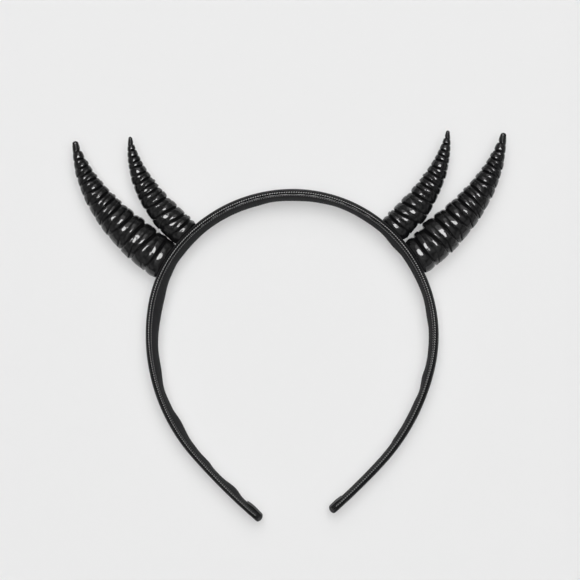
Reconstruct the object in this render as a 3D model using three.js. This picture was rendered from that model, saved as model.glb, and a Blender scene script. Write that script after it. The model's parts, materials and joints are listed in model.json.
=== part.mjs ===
// A costume headband lying on its edge: a ribbon-covered hoop that carries two pairs of ridged horns.
// Millimetres. +Y runs from the band's tips to its crown, and +Z is up from the surface it lies on.
import * as THREE from 'three';

// Clearance between pieces that touch
const SEAT_GAP = 0.3;

// The band, from one edge of its ribbons to the other, and through its layers at the crown
const BAND_WIDTH = 13;
const RIBBON_WALL = 1.0;
const RIBBON_DOME = 1.1;
const HOOP_WIDTH = 7.2;
const HOOP_THICK_CROWN = 0.95;
const HOOP_THICK_TIP = 0.62;
const LINING_WALL = 1.0;

// The band's tips: how far the ends are rounded, and what is left of the width at the very end
const TIP_ROUND = 6;
const TIP_WIDTH_LEFT = 0.45;
const RIBBON_PAST_HOOP = 1.6;
const RIBBON_PAST_LINING = 0.8;

// The outer face of the band as tangent arcs, from the crown down to each tip
const CROWN_HEIGHT = 69.9;
const ARCS = {
  left: [
    { stretch: 'crown', radius: 67.5, turn: 49.0 },
    { stretch: 'shoulder', radius: 58.2, turn: 32.0 },
    { stretch: 'side', radius: 82.5, turn: 50.2 },
    { stretch: 'tail', radius: 289, turn: 8.3 },
  ],
  right: [
    { stretch: 'crown', radius: 64.9, turn: 44.6 },
    { stretch: 'shoulder', radius: 65.6, turn: 58.5 },
    { stretch: 'side', radius: 95.4, turn: 29.7 },
    { stretch: 'tail', radius: 300, turn: 5.95 },
  ],
};

// How far the loose lining stands off the hoop in the middle of its width; left of the crown is negative
const LINING_FOLDS = [
  { along: -200.5, bulge: 0.3 },
  { along: -194, bulge: 1.3 },
  { along: -187, bulge: 0.4 },
  { along: -180, bulge: 1.2 },
  { along: -168, bulge: 0.5 },
  { along: -150, bulge: 1.4 },
  { along: -131, bulge: 1.1 },
  { along: -118, bulge: 1.9 },
  { along: -102, bulge: 2.0 },
  { along: -84, bulge: 3.1 },
  { along: -66, bulge: 1.9 },
  { along: -42, bulge: 2.0 },
  { along: -20, bulge: 2.2 },
  { along: -8, bulge: 1.9 },
  { along: 8, bulge: 1.9 },
  { along: 30, bulge: 1.5 },
  { along: 58, bulge: 1.8 },
  { along: 84, bulge: 1.2 },
  { along: 104, bulge: 0.7 },
  { along: 122, bulge: 0.7 },
  { along: 150, bulge: 0.1 },
  { along: 180, bulge: 0.0 },
  { along: 189, bulge: 0.6 },
  { along: 196.5, bulge: 0.2 },
];

// The two forms of horn: base radius, how its girth falls off, and how soon its bend comes
const HORN_FORMS = {
  large: { radius: 9.55, taper: 1.7, earlyBend: 0.3, sides: 22 },
  small: { radius: 6.7, taper: 2.0, earlyBend: 0.48, sides: 18 },
};

// Each horn's place along the band from the crown, its lean towards the crown, its bend and its length
const HORNS = [
  { name: 'horn_large_left', form: 'large', along: -68.3, lean: 5.2, bend: 44.8, length: 67.6 },
  { name: 'horn_small_left', form: 'small', along: -53.0, lean: -2.6, bend: 44.7, length: 50.4 },
  { name: 'horn_small_right', form: 'small', along: 50.1, lean: -2.2, bend: 42.5, length: 51.5 },
  { name: 'horn_large_right', form: 'large', along: 65.5, lean: 4.9, bend: 43.6, length: 69.2 },
];

// Where each ring of a horn begins, as a share of the horn's length; the last one is the plain tip
const RING_STARTS = [
  0, 0.062, 0.151, 0.243, 0.352, 0.448, 0.52,
  0.59, 0.659, 0.721, 0.768, 0.825, 0.882, 0.93,
];

// The ridges: each ring has two crests set to either side, parted by a groove that runs across it aslant
const GROOVE_PLACE = 0.5;
const GROOVE_SLANT = 0.28;
const CREST_SHIFT = 0.6;
const CREST_SHIFT_PER_RADIUS = 0.12;
const RIDGE_DEPTH = 0.2;
const RIDGE_DEPTH_PER_RADIUS = 0.09;
const HORN_GIRTH_LOSS = 0.915;
const BASE_PINCH = 0.5;
const BASE_PINCH_SHARE = 0.12;
const TIP_CAP = 0.6;
const TIP_CREST = 0.2;
const BASE_BEVEL = 0.8;
const BASE_BEVEL_SHARE = 0.93;
const BASE_CREST = 0.6;
const BASE_TURN_SHARE = 0.25;
const AXIS_STEPS = 240;

// The horns are moulded hollow: their least wall, and the sections of the bore from its end to the base
const HORN_WALL = 0.6;
const BORE_SHARES = [0.84, 0.66, 0.48, 0.3, 0.13, 0];

// Rounds of levelling the part on its surface
const REST_STEPS = 8;

// Spacing of the band's sections, and the shares of its half width where each section has points
const BAND_STEP = 6.8;
const LINING_STEP = 5;
const TIP_STEPS = [0, 0.5, 1.5, 3.2];
const RIBBON_POINTS = [-1, -0.6, 0, 0.6, 1];
const HOOP_POINTS = [-1, 0, 1];
const LINING_POINTS = [-1, -0.5, 0.5, 1];

const COLOURS = {
  horn: { color: 0x0a0a0b, roughness: 0.16, metalness: 0 },
  ribbon: { color: 0x161617, roughness: 0.85, metalness: 0 },
  lining: { color: 0x27272a, roughness: 0.95, metalness: 0 },
  hoop: { color: 0x0d0d0e, roughness: 0.5, metalness: 0 },
};

function arcLength(arc) {
  return arc.radius * THREE.MathUtils.degToRad(arc.turn);
}

function sideLength(side) {
  return ARCS[side].reduce((sum, arc) => sum + arcLength(arc), 0);
}

const REACH = { left: sideLength('left'), right: sideLength('right') };

// Point on the band's outer face, and the direction straight out of it
function bandAt(along) {
  const mirror = along < 0 ? -1 : 1;
  let rest = Math.abs(along);
  let x = 0;
  let y = CROWN_HEIGHT;
  let heading = 0;
  for (const arc of ARCS[along < 0 ? 'left' : 'right']) {
    const turned = Math.min(rest, arcLength(arc)) / arc.radius;
    const centreX = x + arc.radius * Math.sin(heading);
    const centreY = y - arc.radius * Math.cos(heading);
    heading -= turned;
    x = centreX - arc.radius * Math.sin(heading);
    y = centreY + arc.radius * Math.cos(heading);
    rest -= turned * arc.radius;
    if (rest <= 0) break;
  }
  return {
    point: new THREE.Vector3(mirror * x, y, 0),
    out: new THREE.Vector3(-mirror * Math.sin(heading), Math.cos(heading), 0),
  };
}

// Point at a depth under the outer face and a height above the band's middle
function inBand(along, depth, z) {
  const { point, out } = bandAt(along);
  return point.addScaledVector(out, -depth).setZ(z);
}

function toTip(along) {
  return (along < 0 ? REACH.left : REACH.right) - Math.abs(along);
}

// Half the width of a layer, which is rounded off towards its end
function halfWidth(along, full, endInset) {
  const left = toTip(along) - endInset;
  const near = THREE.MathUtils.clamp(1 - left / TIP_ROUND, 0, 1);
  const lost = 1 - TIP_WIDTH_LEFT * TIP_WIDTH_LEFT;
  return 0.5 * full * Math.sqrt(1 - lost * near * near);
}

// Places of the sections of a layer that stops short of the tips by an inset
function stations(endInset, step) {
  const start = -REACH.left + endInset;
  const end = REACH.right - endInset;
  const places = TIP_STEPS.map((s) => start + s);
  const inner = { start: start + TIP_ROUND, end: end - TIP_ROUND };
  const before = Math.round((-step / 2 - inner.start) / step);
  const after = Math.round((inner.end - step / 2) / step);
  for (let i = 0; i <= before; i += 1) {
    places.push(THREE.MathUtils.lerp(inner.start, -step / 2, i / before));
  }
  for (let i = 0; i <= after; i += 1) {
    places.push(THREE.MathUtils.lerp(step / 2, inner.end, i / after));
  }
  return places.concat([...TIP_STEPS].reverse().map((s) => end - s));
}

// One closed body from rings of points; each end is closed by pairing the ring's two sides or by a fan
function closedGeometry(rings, caps) {
  const count = rings[0].length;
  const points = rings.flat();
  const faces = [];
  for (let i = 0; i + 1 < rings.length; i += 1) {
    for (let j = 0; j < count; j += 1) {
      const a = i * count + j;
      const b = i * count + ((j + 1) % count);
      faces.push([a, b, b + count], [a, b + count, a + count]);
    }
  }
  const last = (rings.length - 1) * count;
  if (caps === 'strip') {
    for (let j = 0; j + 1 < count / 2; j += 1) {
      const k = count - 1 - j;
      faces.push([j, k, k - 1], [j, k - 1, j + 1]);
      faces.push([last + k, last + j, last + j + 1], [last + k, last + j + 1, last + k - 1]);
    }
  } else {
    points.push(caps.first, caps.last);
    for (let j = 0; j < count; j += 1) {
      const next = (j + 1) % count;
      faces.push([next, j, points.length - 2], [last + j, last + next, points.length - 1]);
    }
  }
  const volume = faces.reduce((sum, [a, b, c]) => {
    return sum + points[a].dot(points[b].clone().cross(points[c]));
  }, 0);
  const outward = volume > 0 ? faces : faces.map(([a, b, c]) => [a, c, b]);
  const geometry = new THREE.BufferGeometry().setFromPoints(points);
  geometry.setIndex(outward.flat());
  geometry.computeVertexNormals();
  return geometry;
}

function makeMesh(name, geometry, finish) {
  const mesh = new THREE.Mesh(geometry, new THREE.MeshStandardMaterial(COLOURS[finish]));
  mesh.name = name;
  return mesh;
}

// A layer of the band: its outer and inner depth at each share of its half width
function bandLayer({ places, shares, width, endInset, outer, inner }) {
  const rings = places.map((along) => {
    const half = halfWidth(along, width, endInset);
    const top = shares.map((v) => inBand(along, outer(along, (v * half * 2) / BAND_WIDTH), v * half));
    const under = shares.map((v) => inBand(along, inner(along, (v * half * 2) / BAND_WIDTH), v * half));
    return top.concat(under.reverse());
  });
  return closedGeometry(rings, 'strip');
}

function ribbonFace(v) {
  return RIBBON_DOME * v * v;
}

function hoopThick(along) {
  const share = toTip(along) / REACH.left;
  return THREE.MathUtils.lerp(HOOP_THICK_TIP, HOOP_THICK_CROWN, THREE.MathUtils.clamp(share, 0, 1));
}

function hoopBack(along) {
  return RIBBON_WALL + SEAT_GAP + hoopThick(along);
}

// The ribbon's back closes in behind the end of the hoop, where the ribbon is turned in
function ribbonBack(along, v) {
  const wall = ribbonFace(v) + RIBBON_WALL;
  const turnedIn = toTip(along) < RIBBON_PAST_HOOP - SEAT_GAP;
  return turnedIn ? Math.max(wall, hoopBack(along)) : wall;
}

function liningBulge(along) {
  const after = LINING_FOLDS.findIndex((fold) => fold.along >= along);
  if (after === 0) return LINING_FOLDS[0].bulge;
  if (after < 0) return LINING_FOLDS[LINING_FOLDS.length - 1].bulge;
  const [a, b] = [LINING_FOLDS[after - 1], LINING_FOLDS[after]];
  const share = THREE.MathUtils.smoothstep(along, a.along, b.along);
  return THREE.MathUtils.lerp(a.bulge, b.bulge, share);
}

function makeOuterRibbon() {
  const geometry = bandLayer({
    places: stations(0, BAND_STEP),
    shares: RIBBON_POINTS,
    width: BAND_WIDTH,
    endInset: 0,
    outer: (along, v) => ribbonFace(v),
    inner: ribbonBack,
  });
  return makeMesh('outer_ribbon', geometry, 'ribbon');
}

function makeHoop() {
  const geometry = bandLayer({
    places: stations(RIBBON_PAST_HOOP, BAND_STEP),
    shares: HOOP_POINTS,
    width: HOOP_WIDTH,
    endInset: RIBBON_PAST_HOOP,
    outer: (along, v) => ribbonFace(v) + RIBBON_WALL + SEAT_GAP,
    inner: hoopBack,
  });
  return makeMesh('hoop', geometry, 'hoop');
}

// The lining is flat in the middle of its width and falls to the hoop at its edges
function liningBack(along, v) {
  const [, flat] = LINING_POINTS;
  const lift = Math.min(1, (1 - Math.abs(v)) / (1 - Math.abs(flat)));
  return hoopBack(along) + SEAT_GAP + liningBulge(along) * lift;
}

function makeLining() {
  const geometry = bandLayer({
    places: stations(RIBBON_PAST_LINING, LINING_STEP),
    shares: LINING_POINTS,
    width: BAND_WIDTH,
    endInset: RIBBON_PAST_LINING,
    outer: liningBack,
    inner: (along, v) => liningBack(along, v) + LINING_WALL,
  });
  return makeMesh('lining_ribbon', geometry, 'lining');
}

function hornGirth(form, t) {
  const pinch = BASE_PINCH * Math.max(0, 1 - t / BASE_PINCH_SHARE) ** 2;
  return form.radius * (1 - HORN_GIRTH_LOSS * t ** form.taper) - pinch;
}

function crestShift(girth) {
  return Math.min(CREST_SHIFT, CREST_SHIFT_PER_RADIUS * girth);
}

function ridgeDepth(girth) {
  return RIDGE_DEPTH + RIDGE_DEPTH_PER_RADIUS * girth;
}

// The lines that run round a horn in each ring, by their place in the ring and how far in they lie;
// side is 1 on the inside of the bend and -1 on the outside
const RING_LINES = [
  { place: () => 0, inset: (girth, side) => crestShift(girth) * (1 - Math.abs(side)) + ridgeDepth(girth) },
  { place: (groove) => groove / 2, inset: (girth, side) => crestShift(girth) * (1 - side) },
  { place: (groove) => (1 + groove) / 2, inset: (girth, side) => crestShift(girth) * (1 + side) },
];
const [VALLEY] = RING_LINES;
const PLAIN = { inset: (girth, side) => crestShift(girth) * (1 - Math.abs(side)) };

// The horn's middle line in the plane of the band: points, headings and the slant of its sections
function hornAxis(row) {
  const form = HORN_FORMS[row.form];
  const mirror = row.along < 0 ? -1 : 1;
  const { point, out } = bandAt(row.along);
  const seat = Math.atan2(out.y, mirror * out.x);
  const start = seat + THREE.MathUtils.degToRad(row.lean);
  const bend = THREE.MathUtils.degToRad(row.bend);
  const headingAt = (t) => start + bend * (form.earlyBend * t + (1 - form.earlyBend) * t * t);
  const at = point.addScaledVector(out, SEAT_GAP);
  const line = [at.clone()];
  for (let i = 0; i < AXIS_STEPS; i += 1) {
    const heading = headingAt((i + 0.5) / AXIS_STEPS);
    const step = row.length / AXIS_STEPS;
    at.x += mirror * step * Math.cos(heading);
    at.y += step * Math.sin(heading);
    line.push(at.clone());
  }
  const pointAt = (t) => {
    const place = THREE.MathUtils.clamp(t, 0, 1) * AXIS_STEPS;
    const before = Math.min(Math.floor(place), AXIS_STEPS - 1);
    return line[before].clone().lerp(line[before + 1], place - before);
  };
  // sections near the base turn until the base lies flat on the band
  const sectionHeading = (t) => {
    const turn = Math.max(0, 1 - t / BASE_TURN_SHARE) ** 2;
    return headingAt(t) - turn * (start - seat);
  };
  return { mirror, headingAt, pointAt, sectionHeading };
}

// A ring of points round the horn; its share of the length and its radius may change with the angle,
// which is measured from the inside of the bend
function hornRing(axis, sides, shareAt, radiusAt) {
  return Array.from({ length: sides }, (_, j) => {
    const angle = (2 * Math.PI * j) / sides;
    const t = shareAt(Math.cos(angle));
    const radius = radiusAt(t, Math.cos(angle));
    const heading = axis.sectionHeading(t);
    const inside = new THREE.Vector3(-axis.mirror * Math.sin(heading), Math.cos(heading), 0);
    const across = inside.multiplyScalar(radius * Math.cos(angle));
    return axis.pointAt(t).add(across).setZ(radius * Math.sin(angle));
  });
}

function makeHorn(row) {
  const axis = hornAxis(row);
  const form = HORN_FORMS[row.form];
  const outside = (line, shrink = 1) => (t, side) => {
    const girth = hornGirth(form, t);
    return shrink * (girth - line.inset(girth, side));
  };
  const bore = (t) => {
    const girth = hornGirth(form, t);
    return girth - crestShift(girth) - ridgeDepth(girth) - HORN_WALL;
  };
  const ringOf = (shareAt, radiusAt) => hornRing(axis, form.sides, shareAt, radiusAt);
  const rings = BORE_SHARES.map((t) => ringOf(() => t, bore));
  rings.push(ringOf(() => 0, outside(PLAIN, BASE_BEVEL_SHARE)));
  rings.push(ringOf(() => BASE_BEVEL / row.length, outside(PLAIN)));
  rings.push(ringOf(() => BASE_CREST * RING_STARTS[1], outside(PLAIN)));
  for (let k = 1; k + 1 < RING_STARTS.length; k += 1) {
    const span = RING_STARTS[k + 1] - RING_STARTS[k];
    for (const line of RING_LINES) {
      const shareAt = (side) => RING_STARTS[k] + span * line.place(GROOVE_PLACE + GROOVE_SLANT * side);
      rings.push(ringOf(shareAt, outside(line)));
    }
  }
  const tipStart = RING_STARTS[RING_STARTS.length - 1];
  rings.push(ringOf(() => tipStart, outside(VALLEY)));
  rings.push(ringOf(() => tipStart + TIP_CREST * (1 - tipStart), outside(PLAIN)));
  rings.push(ringOf(() => 1 - TIP_CAP / row.length, outside(PLAIN)));
  const ends = { first: axis.pointAt(BORE_SHARES[0]), last: axis.pointAt(1) };
  return makeMesh(row.name, closedGeometry(rings, ends), 'horn');
}

function lowestOf(group, prefix) {
  const meshes = group.children.filter((mesh) => mesh.name.startsWith(prefix));
  return Math.min(...meshes.map((mesh) => new THREE.Box3().setFromObject(mesh, true).min.z));
}

// The headband tilts until the bellies of its large horns and the lower edge near its tips share one level
function restOnSurface(group) {
  const hornY = bandAt(HORNS[0].along).point.y;
  const tipY = bandAt(-REACH.left + TIP_ROUND).point.y;
  for (let i = 0; i < REST_STEPS; i += 1) {
    group.updateMatrixWorld(true);
    group.rotation.x -= (lowestOf(group, 'horn') - lowestOf(group, 'outer')) / (hornY - tipY);
  }
  group.updateMatrixWorld(true);
  const box = new THREE.Box3().setFromObject(group, true);
  const centre = box.getCenter(new THREE.Vector3());
  group.position.set(-centre.x, -centre.y, -box.min.z);
}

const headband = new THREE.Group();
headband.add(makeOuterRibbon(), makeHoop(), makeLining());
HORNS.forEach((row) => headband.add(makeHorn(row)));
restOnSurface(headband);

export default headband;
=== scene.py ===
import json
import math

import bpy
import numpy as np
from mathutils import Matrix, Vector

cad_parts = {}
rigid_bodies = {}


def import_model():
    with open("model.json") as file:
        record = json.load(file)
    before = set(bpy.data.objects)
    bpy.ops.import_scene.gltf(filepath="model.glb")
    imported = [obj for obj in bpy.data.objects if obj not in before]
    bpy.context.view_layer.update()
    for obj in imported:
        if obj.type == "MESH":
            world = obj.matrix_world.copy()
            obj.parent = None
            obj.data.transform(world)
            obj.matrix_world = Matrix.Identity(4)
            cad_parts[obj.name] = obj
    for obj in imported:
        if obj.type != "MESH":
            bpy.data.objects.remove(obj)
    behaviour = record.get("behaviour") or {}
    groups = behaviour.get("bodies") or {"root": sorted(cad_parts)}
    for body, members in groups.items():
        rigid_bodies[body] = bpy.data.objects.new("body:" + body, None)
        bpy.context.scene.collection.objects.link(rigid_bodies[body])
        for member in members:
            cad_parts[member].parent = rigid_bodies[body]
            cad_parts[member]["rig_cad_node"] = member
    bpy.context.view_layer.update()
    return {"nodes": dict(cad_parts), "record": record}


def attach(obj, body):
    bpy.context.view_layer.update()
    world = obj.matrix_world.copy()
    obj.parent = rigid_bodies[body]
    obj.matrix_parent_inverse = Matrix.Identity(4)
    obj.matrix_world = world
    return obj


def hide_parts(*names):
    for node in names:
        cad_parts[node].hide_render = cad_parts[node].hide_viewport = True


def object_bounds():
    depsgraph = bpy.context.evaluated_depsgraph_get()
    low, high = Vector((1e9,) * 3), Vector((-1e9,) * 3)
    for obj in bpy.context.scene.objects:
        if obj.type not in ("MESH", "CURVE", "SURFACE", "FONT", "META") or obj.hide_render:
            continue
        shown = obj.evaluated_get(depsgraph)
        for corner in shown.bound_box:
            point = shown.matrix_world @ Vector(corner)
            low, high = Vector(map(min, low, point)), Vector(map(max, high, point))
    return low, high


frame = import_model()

MM = 0.001

# The band, with the same driving sizes as the solids
SEAT_GAP = 0.3 * MM
BAND_WIDTH = 13 * MM
RIBBON_WALL = 1.0 * MM
RIBBON_DOME = 1.1 * MM
HOOP_THICK_CROWN = 0.95 * MM
HOOP_THICK_TIP = 0.62 * MM
LINING_WALL = 1.0 * MM
LINING_STEP = 5 * MM
TIP_ROUND = 6 * MM
TIP_WIDTH_LEFT = 0.45
CROWN_HEIGHT = 69.9 * MM

# The outer face of the band as tangent arcs, from the crown down to each tip: radius and turn in degrees
ARCS = [
    {"stretch": "crown", "left": (67.5 * MM, 49.0), "right": (64.9 * MM, 44.6)},
    {"stretch": "shoulder", "left": (58.2 * MM, 32.0), "right": (65.6 * MM, 58.5)},
    {"stretch": "side", "left": (82.5 * MM, 50.2), "right": (95.4 * MM, 29.7)},
    {"stretch": "tail", "left": (289 * MM, 8.3), "right": (300 * MM, 5.95)},
]

# How far the loose lining stands off the hoop, by place along the band, both in millimetres; places left of
# the crown are negative. The solids have one value at the seat, the crown fold.
CROWN_FOLD = 1.9 * MM
LINING_FOLDS = [
    (-203, 0.3), (-198, 0.5), (-193, 0.4), (-186, 1.5), (-178, 0.6), (-174, 0.6), (-169, 1.15), (-164, 1.0),
    (-158, 1.25), (-146, 2.25), (-138, 1.55), (-130, 1.25), (-118, 2.3), (-111, 2.15), (-86, 3.4), (-74, 2.7),
    (-66, 2.3), (-61, 2.45), (-42, 2.15), (-18, 2.25), (-9, 1.85), (2, 2.0), (12, 1.75), (22, 1.45),
    (38, 1.65), (46, 1.6), (55, 2.25), (62, 1.75), (70, 1.7), (85, 1.3), (93, 1.55), (100, 1.2), (117, 1.1),
    (122, 1.4), (130, 0.6), (135, 0.95), (154, 0.85), (158, 0.4), (174, 0.25), (190, 0.1), (200, 0.1),
]

# The horns, with nearly the same driving sizes as the solids. The rings are given by where each begins, as a
# share of the horn's length, on the inside and outside of its bend; the first ones, up to a number, have two
# crests each, and the domes say how round a ring's two crests are where that isn't as usual.
HORN_FORMS = {
    "large": {
        "radius": 9.55 * MM, "taper": 1.7, "loss": 0.88, "early_bend": 0.3, "paired": 12,
        "domes": {
            1: (0.35, 1), 2: (0.9, 0.18), 3: (0.9, 0.27), 4: (1, 0.6),
            6: (0.36, 0.7), 7: (0.36, 0.7), 8: (0.36, 0.7),
        },
        "rings": [
            (0, 0), (0.064, 0.072), (0.15, 0.18), (0.254, 0.262), (0.348, 0.37), (0.467, 0.448),
            (0.526, 0.509), (0.587, 0.582), (0.65, 0.653), (0.718, 0.716), (0.771, 0.767), (0.823, 0.821),
            (0.876, 0.873), (0.932, 0.925),
        ],
    },
    "small": {
        "radius": 7.15 * MM, "taper": 1.85, "loss": 0.905, "early_bend": 0.45, "paired": 8,
        "domes": {1: (0.6, 0.6), 2: (0.6, 0.22), 3: (1, 1), 4: (0.9, 0.9)},
        "rings": [
            (0, 0), (0.058, 0.075), (0.124, 0.174), (0.22, 0.278), (0.351, 0.378), (0.478, 0.462),
            (0.53, 0.516), (0.594, 0.591), (0.66, 0.662), (0.725, 0.726), (0.775, 0.772), (0.825, 0.823),
            (0.881, 0.875), (0.931, 0.925),
        ],
    },
}
WIDEST = HORN_FORMS["large"]["radius"]

# Each horn's place along the band, lean and bend in degrees, and length. Near the base some lose a little of
# their inside or outside, in millimetres by share of the length, and the left ones are pressed flat where
# they face each other, by share of the length.
HORNS = [
    {"node": "horn_large_left", "form": "large", "along": -68.3, "lean": 5.2, "bend": 45.4, "length": 68.1,
     "inside": [(0, 0.47), (0.06, 0.5), (0.1, 0.48), (0.16, 0.15), (0.3, 0)], "outside": [(0, 0)],
     "pressed": {"towards": 1, "shares": [(0.1, 1), (0.15, 0)]}},
    {"node": "horn_small_left", "form": "small", "along": -53.3, "lean": -2.6, "bend": 45.2, "length": 50.9,
     "inside": [(0, 0)], "outside": [(0, 0.45), (0.1, 0.4), (0.16, 0.15), (0.24, 0)],
     "pressed": {"towards": -1, "shares": [(0.13, 1), (0.19, 0)]}},
    {"node": "horn_small_right", "form": "small", "along": 49.7, "lean": -2.2, "bend": 42.8, "length": 51.5,
     "inside": [(0, 0)],
     "outside": [(0.08, 0.1), (0.1, 0.4), (0.165, 0.4), (0.21, -0.5), (0.31, -0.5), (0.42, 0)]},
    {"node": "horn_large_right", "form": "large", "along": 65.0, "lean": 4.9, "bend": 43.9, "length": 69.2,
     "inside": [(0, 1.2), (0.14, 1.2), (0.16, -0.3), (0.24, -0.2), (0.3, 0)], "outside": [(0, 0)]},
]
PRESSED_FLAT = 0.85

# The horns' bases: drawn in, bevelled, turned and hollowed to sit on the round band
BASE_PINCH = 0.3 * MM
BASE_PINCH_SHARE = 0.12
BASE_BEVEL = 0.5 * MM
BASE_BEVEL_SHARE = 0.975
BASE_TURN_SHARE = 0.25
BASE_SETTLE_SHARE = 0.08
BASE_GAP = 0.1 * MM
BASE_HOLLOW = 0.4 * MM
BAND_ROUND = 62 * MM

# Lines and points of the horns: steps down a groove as shares of its half width, and where its crest begins
AXIS_STEPS = 240
HORN_SIDES = 96
CREST_ROWS = 7
GROOVE_STEPS = (0, 0.4, 0.8)
CREST_BEGINS = 1.05
TIP_CAP = 1.0 * MM
CAP_ROWS = 5

# Form of the horn's section: squarer near the base, and a little lower than wide
SECTION_POWERS = [(0, 2.4), (0.3, 2.2), (0.5, 2.1), (0.7, 2)]
SECTION_HEIGHT = 0.93

# Form of the rings, by the cosine of the angle round the horn from the inside of its bend: half the width of
# the valleys between rings, and of the grooves that part pairs of crests, in millimetres on the widest part;
# where the groove lies along the ring; the height of a crest's dome and of a whole ring's, as shares of their
# lengths; how steep the valleys and grooves are, and how far painted shade dims their glint
VALLEY_HALF = [(-1, 0.6), (-0.5, 0.45), (0, 0.65), (0.5, 0.9), (0.85, 0.8), (1, 0.5)]
GROOVE_HALF = [(-1, 0), (-0.4, 0), (0, 0.18), (0.6, 0.16), (1, 0.08)]
GROOVE_PLACE = [(-1, 0.15), (-0.5, 0.55), (0, 0.5), (1, 0.52)]
CREST_DOME = [(-1, 0.06), (-0.4, 0.1), (0, 0.26), (0.5, 0.07), (1, 0.03)]
RING_DOME = [(-1, 0.02), (-0.5, 0), (0, 0), (0.5, 0.05), (1, 0.12)]
GROOVE_SLOPE = [(-1, 0.75), (-0.75, 0.9), (-0.4, 1.4), (0.4, 1.6), (0.8, 1.4), (1, 0.8)]
# Painted shade in the grooves: on which side of the horn it falls, and the depth at which it is full
GROOVE_PAINTED_SHADE = [(-0.75, 0), (-0.25, 1)]
GROOVE_SHADE_DEPTH = 0.35 * MM
NARROWEST = 0.45
GROOVE_MOST = 0.35
TIP_VALLEY = 0.5
DEEP_GROOVE = 4
USUAL_DOMES = (0.5, 0.5)
SINGLE_DOME = 0.4
END_DOME = 0.09

# The two crests of a ring differ in height and sway to either side on the faces; no two rings are alike, as
# each unevenness goes on at a pace of its own, in radians a ring
CREST_SHIFT = 0.12 * MM
CREST_SHIFT_PER_RADIUS = 0.03
CREST_SWAY = 0.4 * MM
CREST_SWAY_PER_RADIUS = 0.1
UNEVEN_HEIGHT = 0.09 * MM
HEIGHT_PACE = 2.4
UNEVEN_PLACE = 0.05
PLACE_PACE = 1.7
PLACE_BEGINS = 2
RING_WAVER = 0.005
WAVER_PACE = 1.9

# Dents in the moulded surface: their depth, and two crossing waves given by their number round the horn and
# their radians along its length
BROAD_DENT = 0.05 * MM
BROAD_WAVES = ((5, 90), (3, -140))
NARROW_DENT = 0.07 * MM
NARROW_WAVES = ((13, 170), (6, -260))

# What the finer ribbons add
BAND_STEP = 0.45 * MM
RIBBON_FINE_WALL = 0.8 * MM
RIBBON_COLUMNS = 21
EDGE_ROLL = 0.25 * MM
EDGE_ROLL_FROM = 0.85
TIP_TURN = 1.2 * MM
TIP_FILL = 1.5 * MM
TIP_STEPS = 14
TAILS = {"left": 9 * MM, "right": 7 * MM}
TAIL_GAP = 0.09 * MM
TAIL_WALL = 0.5 * MM
TAIL_FADE = 3 * MM
TAIL_EDGE_SHARE = 0.3
LINING_FINE_WALL = 0.8 * MM
LINING_COLUMNS = 25
LINING_SHORT = 1.4 * MM
ARCH_POWER = 2.2
TWILL_PITCH = 1.25 * MM
TWILL_RELIEF = 0.045 * MM

# The looped threads along the ribbons' edges; the outer ones' depth is by place along the band, both in
# millimetres
LOOP_PITCH = 1.1 * MM
LOOP_LENGTH = 0.78 * MM
LOOP_THICK = 0.4 * MM
LOOP_SLANT = 18
LOOP_SIDES = 8
LOOP_ROWS = 5
LOOPS_SHORT = 2.5 * MM
LOOP_DEPTH = [(-130, 2.05), (-95, 1.55), (40, 1.55), (85, 1.75), (130, 2.3)]
LINING_LOOP_DEPTH = 0.4 * MM

# The photograph's view: its width at the height of the band's middle, and the camera's distance from there
VIEW_WIDTH = 258.7 * MM
VIEW_CENTRE = (-0.13 * MM, 16.5 * MM)
VIEW_HEIGHT = 8 * MM
VIEW_DISTANCE = 1.2
SENSOR = 36

# The stage: half the floor's side, how far off the broad lights hang, and the light that pale walls throw
# back, with its number of sides and, in degrees, its angle over the floor and its spread
FLOOR_HALF = 3.0
BROAD_LIGHT_AWAY = 2.0
BOUNCE_SIDES = 4
BOUNCE_RISE = 14
BOUNCE_SPREAD = 8


# Shape of the band

def reach(side):
    table = np.array([row[side] for row in ARCS])
    return float((table[:, 0] * np.radians(table[:, 1])).sum())


REACH = {"left": reach("left"), "right": reach("right")}


def band_at(along):
    """Points on the band's outer face, and the directions straight out of it, in the band's own plane."""
    along = np.atleast_1d(np.asarray(along, float))
    left = along < 0
    mirror = np.where(left, -1.0, 1.0)
    rest = np.abs(along)
    x, y, heading = np.zeros_like(rest), np.full_like(rest, CROWN_HEIGHT), np.zeros_like(rest)
    for row in ARCS:
        radius = np.where(left, row["left"][0], row["right"][0])
        most = np.radians(np.where(left, row["left"][1], row["right"][1]))
        turned = np.minimum(rest / radius, most)
        centre_x, centre_y = x + radius * np.sin(heading), y - radius * np.cos(heading)
        heading = heading - turned
        x, y = centre_x - radius * np.sin(heading), centre_y + radius * np.cos(heading)
        rest = np.maximum(rest - turned * radius, 0)
    points = np.stack([mirror * x, y, np.zeros_like(x)], -1)
    out = np.stack([-mirror * np.sin(heading), np.cos(heading), np.zeros_like(x)], -1)
    return points, out


def in_band(along, depth, z):
    """Points at a depth under the outer face and a height above the band's middle; the arrays broadcast."""
    along, depth, z = np.broadcast_arrays(np.asarray(along, float), depth, z)
    points, out = band_at(along.ravel())
    points = points - out * depth.ravel()[:, None]
    points[:, 2] = z.ravel()
    return points.reshape(along.shape + (3,))


def to_tip(along):
    return np.where(along < 0, REACH["left"], REACH["right"]) - np.abs(along)


def half_width(along, end_inset=0.0):
    near = np.clip(1 - (to_tip(along) - end_inset) / TIP_ROUND, 0, 1)
    return 0.5 * BAND_WIDTH * np.sqrt(1 - (1 - TIP_WIDTH_LEFT ** 2) * near ** 2)


def hoop_back(along):
    share = np.clip(to_tip(along) / REACH["left"], 0, 1)
    return RIBBON_WALL + SEAT_GAP + HOOP_THICK_TIP + (HOOP_THICK_CROWN - HOOP_THICK_TIP) * share


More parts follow.
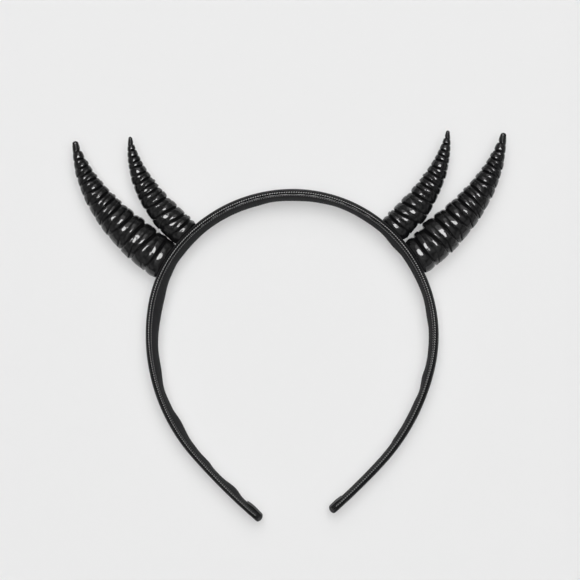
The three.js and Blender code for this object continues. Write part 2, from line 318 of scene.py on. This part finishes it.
def smooth_table(rows, place):
    """A table of place and value, both in millimetres, read with level spots at its rows."""
    places = np.array([r[0] for r in rows]) * MM
    values = np.array([r[1] for r in rows]) * MM
    after = np.clip(np.searchsorted(places, place), 1, len(rows) - 1)
    share = np.clip((place - places[after - 1]) / (places[after] - places[after - 1]), 0, 1)
    share = share * share * (3 - 2 * share)
    return values[after - 1] + (values[after] - values[after - 1]) * share


# Placing: the record's seat is the middle of the lining's inner face at the crown

SEAT = frame["record"]["mounts"][0]
TILT = math.asin(-SEAT["axis"][2])


def tilted(points):
    x, y, z = points[..., 0], points[..., 1], points[..., 2]
    c, s = math.cos(TILT), math.sin(TILT)
    return np.stack([x, y * c - z * s, y * s + z * c], -1)


def seat_in_band():
    ends = np.array([-LINING_STEP / 2, LINING_STEP / 2])
    depth = hoop_back(ends) + SEAT_GAP + CROWN_FOLD + LINING_WALL
    return in_band(ends, depth, 0.0).mean(0)


SHIFT = np.array(SEAT["pos_m"]) - tilted(seat_in_band())


def placed(points):
    return tilted(points) + SHIFT


# Meshes

def mesh_object(name, points, faces, attributes=None):
    mesh = bpy.data.meshes.new(name)
    mesh.from_pydata(points.tolist(), [], faces)
    for key, values in (attributes or {}).items():
        layer = mesh.attributes.new(key, "FLOAT_VECTOR", "POINT")
        layer.data.foreach_set("vector", np.asarray(values, np.float32).ravel())
    mesh.polygons.foreach_set("use_smooth", [True] * len(mesh.polygons))
    mesh.update()
    piece = bpy.data.objects.new(name, mesh)
    bpy.context.scene.collection.objects.link(piece)
    return piece


def ring_faces(rows, columns):
    """Quads between rows of points that close round their columns."""
    i, j = np.meshgrid(np.arange(rows - 1), np.arange(columns), indexing="ij")
    k = (j + 1) % columns
    quads = np.stack([i * columns + j, i * columns + k, (i + 1) * columns + k, (i + 1) * columns + j], -1)
    return quads.reshape(-1, 4).tolist()


def capped_faces(rows, columns):
    """Faces of closed rows and of their two ends, whose middles are the two points after the rows."""
    faces = ring_faces(rows, columns)
    last, middle = (rows - 1) * columns, rows * columns
    for j in range(columns):
        k = (j + 1) % columns
        faces.append([k, j, middle])
        faces.append([last + j, last + k, middle + 1])
    return faces


def outward(points, faces):
    """The faces, turned round if they enclose a negative volume."""
    total = 0.0
    for face in faces:
        a, b, c = points[face[0]], points[face[1]], points[face[2]]
        total += float(np.dot(a, np.cross(b, c)))
    return faces if total > 0 else [face[::-1] for face in faces]


def strip_mesh(name, top, under, attributes):
    """A closed sheet from the points of its two faces, each an array of rows and columns."""
    rows, columns = top.shape[:2]
    ring = np.concatenate([top, under[:, ::-1]], 1)
    faces = ring_faces(rows, 2 * columns)
    last = (rows - 1) * 2 * columns
    for j in range(columns - 1):
        k = 2 * columns - 1 - j
        faces.append([j, k, k - 1, j + 1])
        faces.append([last + k, last + j, last + j + 1, last + k - 1])
    points = ring.reshape(-1, 3)
    woven = {key: np.concatenate([v, v[:, ::-1]], 1) for key, v in attributes.items()}
    return mesh_object(name, placed(points), outward(points, faces), woven)


# Outer ribbon: over the outside of the hoop, round its tips and back in behind them

def lining_face(along, v):
    """Depth of the side of the lining that faces the hoop."""
    arch = 1 - np.abs(v) ** ARCH_POWER
    return hoop_back(along) + SEAT_GAP + smooth_table(LINING_FOLDS, along) * arch


def ribbon_path():
    """Rows along the outer ribbon, from left tail to right tail: place, depth, inward direction, wall."""
    run = np.arange(-REACH["left"] + TIP_TURN, REACH["right"] - TIP_TURN, BAND_STEP)
    level = np.zeros_like(run)
    path = [np.stack([run, level, level, level + 1, level + RIBBON_FINE_WALL], -1)]
    for sign, side in ((-1, "left"), (1, "right")):
        corner = sign * (REACH[side] - TIP_TURN)
        went = np.arange(BAND_STEP, TAILS[side], BAND_STEP)
        tail = corner - sign * went
        fade = np.clip((TAILS[side] - went) / TAIL_FADE, 0, 1)
        wall = TAIL_WALL * (TAIL_EDGE_SHARE + (1 - TAIL_EDGE_SHARE) * fade)
        inside = lining_face(tail, 0) + LINING_FINE_WALL + TAIL_GAP + wall
        angle = np.linspace(0, math.pi, TIP_STEPS)[1:]
        turn_wall = RIBBON_FINE_WALL + (TAIL_WALL - RIBBON_FINE_WALL) * angle / math.pi
        turn = np.stack([
            corner + sign * TIP_TURN * np.sin(angle),
            inside[0] / 2 * (1 - np.cos(angle)),
            -sign * np.sin(angle),
            np.cos(angle),
            turn_wall + (TIP_FILL - turn_wall) * np.sin(angle),
        ], -1)
        back = np.stack([tail, inside, 0 * tail, 0 * tail - 1, wall], -1)
        end = np.concatenate([turn, back])
        path = [end[::-1]] + path if side == "left" else path + [end]
    return np.concatenate(path)


def make_outer_ribbon():
    place, depth, along_inward, depth_inward, wall = (column[:, None] for column in ribbon_path().T)
    v = np.linspace(-1, 1, RIBBON_COLUMNS)[None, :]
    half = half_width(place)
    across = v * half
    roll = np.clip((np.abs(v) - EDGE_ROLL_FROM) / (1 - EDGE_ROLL_FROM), 0, 1) ** 2 * EDGE_ROLL
    dome = RIBBON_DOME * (across / (0.5 * BAND_WIDTH)) ** 2 * np.maximum(depth_inward, 0)
    faces = []
    for lift in (dome + roll * wall / RIBBON_FINE_WALL, dome + wall):
        faces.append(in_band(place + lift * along_inward, depth + lift * depth_inward, across))
    steps = np.hypot(np.diff(place, axis=0), np.diff(depth, axis=0))
    run = np.concatenate([[[0]], np.cumsum(steps, axis=0)])
    woven = {key: np.stack(np.broadcast_arrays(along, across, 0.0), -1)
             for key, along in (("weave", run), ("place", place))}
    return strip_mesh("ribbon_outside", faces[0], faces[1], woven)


# Lining: loose, puckered and ribbed aslant

def make_lining():
    along = np.arange(-REACH["left"] + LINING_SHORT, REACH["right"] - LINING_SHORT, BAND_STEP)[:, None]
    v = np.linspace(-1, 1, LINING_COLUMNS)[None, :]
    across = v * half_width(along, LINING_SHORT)
    face = lining_face(along, v)
    ribs = TWILL_RELIEF * np.sin(2 * math.pi * (along + across) / TWILL_PITCH)
    top = in_band(along, face, across)
    under = in_band(along, face + LINING_FINE_WALL + ribs, across)
    woven = np.stack(np.broadcast_arrays(along, across, 0.0), -1)
    return strip_mesh("ribbon_lining", top, under, {"weave": woven, "place": woven})


# Looped threads along the edges

def loop_form():
    """One short strand, pointed at both ends, along its first axis: points and faces."""
    rows = np.linspace(0, math.pi, LOOP_ROWS + 2)[1:-1]
    turns = np.arange(LOOP_SIDES) * 2 * math.pi / LOOP_SIDES
    ring = [[-np.cos(r), np.sin(r) * np.cos(a), np.sin(r) * np.sin(a)] for r in rows for a in turns]
    points = np.array(ring + [[-1, 0, 0], [1, 0, 0]])
    points = points * np.array([LOOP_LENGTH, LOOP_THICK, LOOP_THICK]) / 2
    return points, outward(points, capped_faces(LOOP_ROWS, LOOP_SIDES))


def make_loops(name, depth_at, end_inset):
    """Strands along both edges of a ribbon."""
    form, form_faces = loop_form()
    short = end_inset + LOOPS_SHORT
    along = np.arange(short - REACH["left"], REACH["right"] - short, LOOP_PITCH)
    slant = math.radians(LOOP_SLANT)
    points, faces, woven = [], [], []
    for edge in (-1, 1):
        centre = in_band(along, depth_at(along), edge * half_width(along, end_inset))
        _, out = band_at(along)
        tangent = np.stack([out[:, 1], -out[:, 0], 0 * along], -1)
        length_axis = math.cos(slant) * tangent + math.sin(slant) * out
        side_axis = math.cos(slant) * out - math.sin(slant) * tangent
        up_axis = np.broadcast_to([0.0, 0.0, 1.0], out.shape)
        for i in range(len(along)):
            axes = np.stack([length_axis[i], side_axis[i], up_axis[i]])
            base = len(points) * len(form)
            points.append(centre[i] + form @ axes)
            faces += [[base + p for p in face] for face in form_faces]
            woven.append(np.broadcast_to([along[i], edge * BAND_WIDTH / 2, 0.0], form.shape))
    return mesh_object(name, placed(np.concatenate(points)), faces, {"weave": np.concatenate(woven)})


# Horns

def read(rows, place):
    return np.interp(place, [r[0] for r in rows], [r[1] for r in rows])


def horn_girth(row, side, t):
    """Radius of the horn without its ridges; side is the cosine of the angle from the inside of the bend."""
    form = HORN_FORMS[row["form"]]
    loss = BASE_PINCH * np.maximum(0, 1 - t / BASE_PINCH_SHARE) ** 2
    loss = loss + read(row["inside"], t) * MM * ((1 + side) / 2) ** 2
    loss = loss + read(row["outside"], t) * MM * ((1 - side) / 2) ** 2
    power = read(SECTION_POWERS, t)
    upright = np.sqrt(np.maximum(1 - side ** 2, 0)) / SECTION_HEIGHT
    section = (np.abs(side) ** power + upright ** power) ** (-1 / power)
    return (form["radius"] * (1 - form["loss"] * t ** form["taper"]) - loss) * section


def crest_height(row, side, t, ring, lean):
    """Radius of a crest: lean is 1 for a ring's first crest, -1 for its second and 0 for an only one."""
    girth = horn_girth(row, side, t)
    shift = np.minimum(CREST_SHIFT, CREST_SHIFT_PER_RADIUS * girth)
    sway = np.minimum(CREST_SWAY, CREST_SWAY_PER_RADIUS * girth) * (1 - side ** 2)
    uneven = UNEVEN_HEIGHT * lean * math.sin(HEIGHT_PACE * ring)
    return girth - shift + lean * side * (shift + sway) + uneven


def crest_rows(row, side, ring, lean, span, grooves, dome, whole_ring=None):
    """Lines across one crest, from one groove to just before the next: share of length, radius, painted
    shade.
    """
    start, end = span
    ring_from, ring_to = whole_ring or span
    puff = read(RING_DOME, side) * (ring_to - ring_from) * row["length"] * MM
    painted_shade = read(GROOVE_PAINTED_SHADE, side)
    whole = (end - start) * row["length"] * MM
    size = NARROWEST + (1 - NARROWEST) * horn_girth(row, side, start) / WIDEST
    before, after = (np.minimum(half * MM * size, GROOVE_MOST * whole) for half in grooves)
    first, last = CREST_BEGINS * before, whole - CREST_BEGINS * after
    places = [step * before for step in GROOVE_STEPS]
    places += [first + (last - first) * k / CREST_ROWS for k in range(CREST_ROWS + 1)]
    places += [whole - step * after for step in reversed(GROOVE_STEPS[1:])]
    rows = []
    for x in places:
        t = start + (end - start) * x / whole
        cut = np.maximum(before - x, after - (whole - x)) * read(GROOVE_SLOPE, side)
        cut = np.maximum(cut, 0)
        drop = dome * whole * (2 * x / whole - 1) ** 2 + cut
        drop = drop + puff * (2 * (t - ring_from) / (ring_to - ring_from) - 1) ** 4
        if "pressed" in row:
            facing = np.clip(row["pressed"]["towards"] * side, 0, 1)
            drop = drop * (1 - PRESSED_FLAT * facing ** 2 * read(row["pressed"]["shares"], t))
        radius = crest_height(row, side, t, ring, lean) - drop
        # The third number is painted shade, full at the bottom of deep grooves
        rows.append((t, radius, painted_shade * np.minimum(cut / GROOVE_SHADE_DEPTH, 1)))
    return rows


def ring_start(form, angle, ring):
    inside, outside = form["rings"][ring]
    waver = RING_WAVER * np.sin(2 * angle + WAVER_PACE * ring) * np.sin(angle) if ring else 0
    return (inside + outside) / 2 + (inside - outside) / 2 * np.cos(angle) + waver


def horn_rows(row, angle):
    """Shares of the length, radii and painted shade of the lines round a horn."""
    form = HORN_FORMS[row["form"]]
    side = np.cos(angle)
    valley, groove, dome = read(VALLEY_HALF, side), read(GROOVE_HALF, side), read(CREST_DOME, side)
    none = 0 * side
    starts = [ring_start(form, angle, ring) for ring in range(len(form["rings"]))]
    cap = none + 1 - TIP_CAP / (row["length"] * MM)
    about_base, about_tip = (-starts[1], starts[1]), (starts[-1], 2 * cap - starts[-1])
    rows = crest_rows(row, side, 0, 0, (starts[0], starts[1]), (none, valley), END_DOME, about_base)
    for ring in range(1, len(starts) - 1):
        start, end = starts[ring], starts[ring + 1]
        if ring >= form["paired"]:
            after = TIP_VALLEY * valley if ring == len(starts) - 2 else valley
            rows += crest_rows(row, side, ring, 0, (start, end), (valley, after), SINGLE_DOME * dome)
            continue
        uneven = UNEVEN_PLACE * math.sin(PLACE_PACE * ring + PLACE_BEGINS)
        parting = start + (end - start) * (read(GROOVE_PLACE, side) + uneven)
        between = np.maximum(groove, valley * np.clip(side, 0, 1)) if ring == DEEP_GROOVE else groove
        first, second = (share * dome for share in form["domes"].get(ring, USUAL_DOMES))
        rows += crest_rows(row, side, ring, 1, (start, parting), (valley, between), first, (start, end))
        rows += crest_rows(row, side, ring, -1, (parting, end), (between, valley), second, (start, end))
    rows += crest_rows(row, side, 0, 0, (starts[-1], cap), (TIP_VALLEY * valley, none), 0, about_tip)
    blunt = crest_height(row, side, cap, 0, 0)
    for turn in np.linspace(0, math.pi / 2, CAP_ROWS, endpoint=False):
        rows.append((cap + (1 - cap) * math.sin(turn), blunt * math.cos(turn), none))
    return (np.array(column) for column in zip(*rows))


def crossing(angle, t, waves, shift=0):
    """Two waves multiplied; the shift moves the first along."""
    (round_one, along_one), (round_two, along_two) = waves
    return np.sin(round_one * angle + along_one * t + shift) * np.sin(round_two * angle + along_two * t)


def dents(angle, t):
    broad = crossing(angle, t, BROAD_WAVES)
    return BROAD_DENT * broad + NARROW_DENT * crossing(angle, t, NARROW_WAVES, 2 * broad)


def side_of(row):
    return -1 if row["along"] < 0 else 1


def horn_course(row):
    """Points of a horn's axis, the way out of the band at its base, and its sections' heading by share."""
    early = HORN_FORMS[row["form"]]["early_bend"]
    lean, bend = math.radians(row["lean"]), math.radians(row["bend"])
    mirror = side_of(row)
    point, out = (a[0] for a in band_at(row["along"] * MM))
    seat = math.atan2(out[1], mirror * out[0])

    def axis_heading(t):
        return seat + lean + bend * (early * t + (1 - early) * t * t)

    def section_heading(t):
        return axis_heading(t) - np.maximum(0, 1 - t / BASE_TURN_SHARE) ** 2 * lean

    middle = axis_heading((np.arange(AXIS_STEPS) + 0.5) / AXIS_STEPS)
    step = row["length"] * MM / AXIS_STEPS
    line = np.cumsum(step * np.stack([mirror * np.cos(middle), np.sin(middle)], -1), axis=0)
    line = np.concatenate([[[0, 0]], line]) + (point + BASE_GAP * out)[:2]
    return line, out[:2], section_heading


def make_horn(row):
    form = HORN_FORMS[row["form"]]
    mirror = side_of(row)
    line, out, section_heading = horn_course(row)
    angle = np.arange(HORN_SIDES) * 2 * math.pi / HORN_SIDES
    t, radius, dark = horn_rows(row, angle)
    radius = radius + dents(angle, t) * radius / form["radius"]
    bevel = np.clip(t * row["length"] * MM / BASE_BEVEL, 0, 1)
    radius = radius * (BASE_BEVEL_SHARE + (1 - BASE_BEVEL_SHARE) * np.sqrt(1 - (1 - bevel) ** 2))
    aside = radius * np.cos(angle)
    settle = np.maximum(0, 1 - t / BASE_SETTLE_SHARE) * aside ** 2 / (2 * BAND_ROUND)
    heading = section_heading(t)
    marks = np.linspace(0, 1, AXIS_STEPS + 1)
    x = np.interp(t, marks, line[:, 0]) - mirror * (np.sin(heading) * aside + settle * np.cos(heading))
    y = np.interp(t, marks, line[:, 1]) + np.cos(heading) * aside - settle * np.sin(heading)
    rings = np.stack([x, y, radius * np.sin(angle)], -1)
    ends = np.array([[*(line[0] + BASE_HOLLOW * out), 0], [*line[-1], 0]])
    points = np.concatenate([rings.reshape(-1, 3), ends])
    faces = outward(points, capped_faces(*t.shape))
    # The groove values are painted shade that dulls the glint deep in the grooves
    dark = np.concatenate([dark.ravel(), [0, 0]])
    groove = np.stack([dark, 0 * dark, 0 * dark], -1)
    piece = mesh_object(row["node"] + "_ridged", placed(points), faces, {"groove": groove})
    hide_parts(row["node"])
    return piece


# Materials

# A ribbon's edge begins and is whole at these distances from its middle, and a painted sheen on its face
# begins and is whole at these places along the band, towards the tips; each part of a ribbon has a dark and a
# pale tone
RIM = (0.25 * BAND_WIDTH, 0.45 * BAND_WIDTH)
SHEEN_TOWARDS_TIPS = (95 * MM, 185 * MM)
# The painted glint on the threads dims out over this distance along the band
GLINT_DIMS_OVER = 30 * MM
THREADS_PER_RIB = 0.6
RIBBON_TONES = {
    "edge": ((0.005, 0.005, 0.0055), (0.009, 0.009, 0.0095)),
    "middle": ((0.02, 0.02, 0.021), (0.036, 0.036, 0.037)),
    "tips": ((0.04, 0.04, 0.041), (0.065, 0.065, 0.066)),
}
LINING_TONES = dict.fromkeys(("edge", "middle", "tips"), ((0.013, 0.013, 0.0138), (0.022, 0.022, 0.0228)))


def grey(tone):
    return (tone, tone, tone)


def new_material(name):
    material = bpy.data.materials.new(name)
    material.use_nodes = True
    nodes = material.node_tree.nodes
    return material, nodes, material.node_tree.links, nodes["Principled BSDF"]


def colour_between(nodes, links, factor, low, high):
    """A colour that goes from low to high with the factor; each is three numbers or a node's output."""
    mix = nodes.new("ShaderNodeMix")
    mix.data_type = "RGBA"
    links.new(factor, mix.inputs["Factor"])
    for name, colour in (("A", low), ("B", high)):
        if isinstance(colour, tuple):
            mix.inputs[name].default_value = (*colour, 1)
        else:
            links.new(colour, mix.inputs[name])
    return mix.outputs["Result"]


def value_between(nodes, links, factor, low, high):
    scaled = nodes.new("ShaderNodeMapRange")
    links.new(factor, scaled.inputs["Value"])
    scaled.inputs["To Min"].default_value = low
    scaled.inputs["To Max"].default_value = high
    return scaled.outputs["Result"]


def share_between(nodes, links, number, near, far):
    """From 0 to 1 as a number goes from near to far."""
    share = nodes.new("ShaderNodeMapRange")
    share.inputs["From Min"].default_value = near
    share.inputs["From Max"].default_value = far
    links.new(number, share.inputs["Value"])
    return share.outputs["Result"]


def noise(nodes, links, vector, scale, detail=3.0):
    texture = nodes.new("ShaderNodeTexNoise")
    texture.inputs["Scale"].default_value = scale
    texture.inputs["Detail"].default_value = detail
    if vector:
        links.new(vector, texture.inputs["Vector"])
    return texture.outputs["Fac"]


def bump(nodes, links, height, distance, strength):
    node = nodes.new("ShaderNodeBump")
    node.inputs["Distance"].default_value = distance
    node.inputs["Strength"].default_value = strength
    links.new(height, node.inputs["Height"])
    return node.outputs["Normal"]


def object_place(nodes):
    return nodes.new("ShaderNodeTexCoord").outputs["Object"]


def mesh_value(nodes, name):
    attribute = nodes.new("ShaderNodeAttribute")
    attribute.attribute_name = name
    return attribute.outputs["Vector"]


def part_of(nodes, links, name, axis):
    """One of the numbers of a value kept on the mesh."""
    parts = nodes.new("ShaderNodeSeparateXYZ")
    links.new(mesh_value(nodes, name), parts.inputs["Vector"])
    return parts.outputs[axis]


def away(nodes, links, number, near, far):
    """From 0 to 1 as a number's size goes from near to far."""
    size = nodes.new("ShaderNodeMath")
    size.operation = "ABSOLUTE"
    links.new(number, size.inputs[0])
    return share_between(nodes, links, size.outputs["Value"], near, far)


def horn_material():
    """Black gloss, mottled a little, with painted shade dulling its glint at the bottom of the grooves."""
    material, nodes, links, shader = new_material("horn_gloss")
    place = object_place(nodes)
    groove = part_of(nodes, links, "groove", "X")
    # Painted shade: the glint fades where the groove values are high
    links.new(value_between(nodes, links, groove, 0.5, 0.04), shader.inputs["Specular IOR Level"])
    mottle = noise(nodes, links, place, scale=260, detail=4)
    colour = colour_between(nodes, links, mottle, (0.003, 0.003, 0.0032), (0.0052, 0.0052, 0.0055))
    links.new(colour, shader.inputs["Base Color"])
    patches = noise(nodes, links, place, scale=300)
    links.new(value_between(nodes, links, patches, 0.07, 0.19), shader.inputs["Roughness"])
    shader.inputs["IOR"].default_value = 1.5
    grain = noise(nodes, links, place, scale=700)
    links.new(bump(nodes, links, grain, distance=0.04 * MM, strength=0.4), shader.inputs["Normal"])
    return material


def weave_height(nodes, links, place, rib_pitch):
    """Ribs across a ribbon and finer threads along it."""
    heights = []
    for direction, pitch in (("X", rib_pitch), ("Y", THREADS_PER_RIB * rib_pitch)):
        wave = nodes.new("ShaderNodeTexWave")
        wave.bands_direction = direction
        # At a scale of 1 this texture repeats every tenth of pi metres
        wave.inputs["Scale"].default_value = math.pi / (10 * pitch)
        wave.inputs["Distortion"].default_value = 0.6
        wave.inputs["Detail"].default_value = 1.0
        links.new(place, wave.inputs["Vector"])
        heights.append(wave.outputs["Fac"])
    weave = nodes.new("ShaderNodeMath")
    weave.operation = "MAXIMUM"
    links.new(heights[0], weave.inputs[0])
    links.new(heights[1], weave.inputs[1])
    return weave.outputs["Value"]


def cloth_material(name, tones, rib_pitch, rib_height):
    """Woven ribbon, darker along its edges, and lighter on its face towards the band's tips with a painted
    sheen.
    """
    material, nodes, links, shader = new_material(name)
    place = mesh_value(nodes, "weave")
    height = weave_height(nodes, links, place, rib_pitch)
    wear = noise(nodes, links, place, scale=180, detail=5)
    colours = {part: colour_between(nodes, links, wear, *pair) for part, pair in tones.items()}
    # Painted sheen: the face grows lighter towards the band's tips
    sheen_share = away(nodes, links, part_of(nodes, links, "place", "X"), *SHEEN_TOWARDS_TIPS)
    face = colour_between(nodes, links, sheen_share, colours["middle"], colours["tips"])
    rim = away(nodes, links, part_of(nodes, links, "weave", "Y"), *RIM)
    links.new(colour_between(nodes, links, rim, face, colours["edge"]), shader.inputs["Base Color"])
    links.new(bump(nodes, links, height, distance=rib_height, strength=0.8), shader.inputs["Normal"])
    shader.inputs["Roughness"].default_value = 0.7
    shader.inputs["Specular IOR Level"].default_value = 0.06
    return material


def loop_glint_material(name, dark, pale, glint_dimmed, glint_dims_from):
    """Thread with painted glints in pale patches along the ribbon; past a place along the band the painted
    glint dims.
    """
    material, nodes, links, shader = new_material(name)
    patches = noise(nodes, links, mesh_value(nodes, "weave"), scale=90, detail=6)
    # Painted glint: the pale tones stand in for light glinting on black loops
    painted_glint = colour_between(nodes, links, patches, dark, pale)
    wear = away(nodes, links, part_of(nodes, links, "weave", "X"), glint_dims_from, glint_dims_from + GLINT_DIMS_OVER)
    links.new(colour_between(nodes, links, wear, painted_glint, glint_dimmed), shader.inputs["Base Color"])
    fibres = noise(nodes, links, object_place(nodes), scale=3000)
    links.new(bump(nodes, links, fibres, distance=0.03 * MM, strength=0.5), shader.inputs["Normal"])
    shader.inputs["Roughness"].default_value = 0.45
    shader.inputs["Sheen Weight"].default_value = 0.2
    return material


def hoop_material():
    """Dull black plastic."""
    material, nodes, links, shader = new_material("hoop_plastic")
    place = object_place(nodes)
    mottle = noise(nodes, links, place, scale=120)
    colour = colour_between(nodes, links, mottle, (0.008, 0.008, 0.009), (0.014, 0.014, 0.015))
    links.new(colour, shader.inputs["Base Color"])
    patches = noise(nodes, links, place, scale=300)
    links.new(value_between(nodes, links, patches, 0.55, 0.75), shader.inputs["Roughness"])
    shader.inputs["Specular IOR Level"].default_value = 0.08
    return material


def finish_piece(piece, material):
    piece.data.materials.clear()
    piece.data.materials.append(material)
    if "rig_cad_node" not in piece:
        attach(piece, "root")


# The object

ribbon = make_outer_ribbon()
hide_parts("outer_ribbon")
lining = make_lining()
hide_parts("lining_ribbon")
ribbon_loops = make_loops("ribbon_outside_edge", lambda a: smooth_table(LOOP_DEPTH, a), TIP_TURN)
lining_loops = make_loops(
    "ribbon_lining_edge", lambda a: hoop_back(a) + SEAT_GAP + LINING_LOOP_DEPTH, LINING_SHORT)
horns = [make_horn(row) for row in HORNS]

ribbon_cloth = cloth_material("ribbon_weave", RIBBON_TONES, rib_pitch=0.9 * MM, rib_height=0.1 * MM)
finish_piece(ribbon, ribbon_cloth)
lining_cloth = cloth_material("lining_weave", LINING_TONES, rib_pitch=0.5 * MM, rib_height=0.05 * MM)
finish_piece(lining, lining_cloth)
# The threads' pale tones are painted glints, dimmed towards the band's tips
ribbon_thread_glint = loop_glint_material("ribbon_thread_glint", grey(0.2), grey(0.46), glint_dimmed=grey(0.2), glint_dims_from=95 * MM)
finish_piece(ribbon_loops, ribbon_thread_glint)
lining_thread_glint = loop_glint_material("lining_thread_glint", grey(0.05), grey(0.16), glint_dimmed=grey(0.04), glint_dims_from=110 * MM)
finish_piece(lining_loops, lining_thread_glint)
finish_piece(frame["nodes"]["hoop"], hoop_material())
horn_plastic = horn_material()
for horn in horns:
    finish_piece(horn, horn_plastic)


# Stage, camera and light

def make_floor():
    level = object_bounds()[0].z
    signs = ((-1, -1), (1, -1), (1, 1), (-1, 1))
    corners = np.array([[x * FLOOR_HALF, y * FLOOR_HALF, level] for x, y in signs])
    floor = mesh_object("floor", corners, [[0, 1, 2, 3]])
    material, nodes, links, shader = new_material("floor_pale")
    clouds = noise(nodes, links, object_place(nodes), scale=2.0)
    links.new(colour_between(nodes, links, clouds, grey(0.815), grey(0.825)), shader.inputs["Base Color"])
    shader.inputs["Roughness"].default_value = 0.9
    shader.inputs["Specular IOR Level"].default_value = 0.1
    floor.data.materials.append(material)


def make_camera():
    data = bpy.data.cameras.new("camera")
    data.sensor_width = SENSOR
    data.lens = SENSOR * VIEW_DISTANCE / VIEW_WIDTH
    data.clip_end = 100
    camera = bpy.data.objects.new("camera", data)
    camera.location = (*VIEW_CENTRE, VIEW_HEIGHT + VIEW_DISTANCE)
    bpy.context.scene.collection.objects.link(camera)
    bpy.context.scene.camera = camera


def aim(data, towards, distance):
    """Hang a light in a direction from the object, and turn it to the object."""
    light = bpy.data.objects.new(data.name, data)
    direction = Vector(towards).normalized()
    light.location = direction * distance
    light.rotation_mode = "QUATERNION"
    light.rotation_quaternion = direction.to_track_quat("Z", "Y")
    bpy.context.scene.collection.objects.link(light)
    return light


def make_broad_light(name, towards, spread, power):
    """A light as even over the floor as a far one; the spread is the angle that it fills, in degrees."""
    data = bpy.data.lights.new(name, "SUN")
    data.angle = math.radians(spread)
    data.energy = power
    return aim(data, towards, BROAD_LIGHT_AWAY)


def make_bounce(power):
    """Light that pale walls throw back: low, shadowless, without glints; the power is what the floor gets."""
    rise = math.radians(BOUNCE_RISE)
    for side in range(BOUNCE_SIDES):
        turn = 2 * math.pi * (side + 0.5) / BOUNCE_SIDES
        towards = (math.cos(turn) * math.cos(rise), math.sin(turn) * math.cos(rise), math.sin(rise))
        side_power = power / (BOUNCE_SIDES * math.sin(rise))
        wall = make_broad_light(f"bounce_{side}", towards, BOUNCE_SPREAD, side_power)
        wall.data.use_shadow = False
        wall.visible_glossy = False


def make_light(name, towards, distance, size, power):
    data = bpy.data.lights.new(name, "AREA")
    data.shape = "DISK"
    data.size = size
    data.energy = power
    aim(data, towards, distance)


def make_world(strength):
    """Surroundings seen only in reflections: a dim studio with lighter and darker parts."""
    world = bpy.data.worlds.new("studio")
    world.use_nodes = True
    nodes, links = world.node_tree.nodes, world.node_tree.links
    parts = noise(nodes, links, None, scale=2.2, detail=1.0)
    tone = colour_between(nodes, links, share_between(nodes, links, parts, 0.36, 0.64), grey(0.3), grey(1.9))
    links.new(tone, nodes["Background"].inputs["Color"])
    nodes["Background"].inputs["Strength"].default_value = strength
    world.cycles_visibility.diffuse = False
    bpy.context.scene.world = world


make_floor()
make_camera()
glint = make_broad_light("softbox", towards=(-0.06, 0.07, 1), spread=27, power=2.8)
glint.visible_diffuse = False
make_bounce(power=1.34)
shade = make_broad_light("overhead", towards=(0.03, 0.18, 1), spread=46, power=1.34)
shade.visible_glossy = False
make_light("fill", towards=(0.12, 0.1, 1), distance=1.8, size=2.6, power=4.2)
make_light("panel", towards=(-0.05, 0.6, 0.8), distance=1.8, size=1.2, power=3.6)
make_world(strength=0.28)
bpy.context.scene.view_settings.view_transform = "Standard"
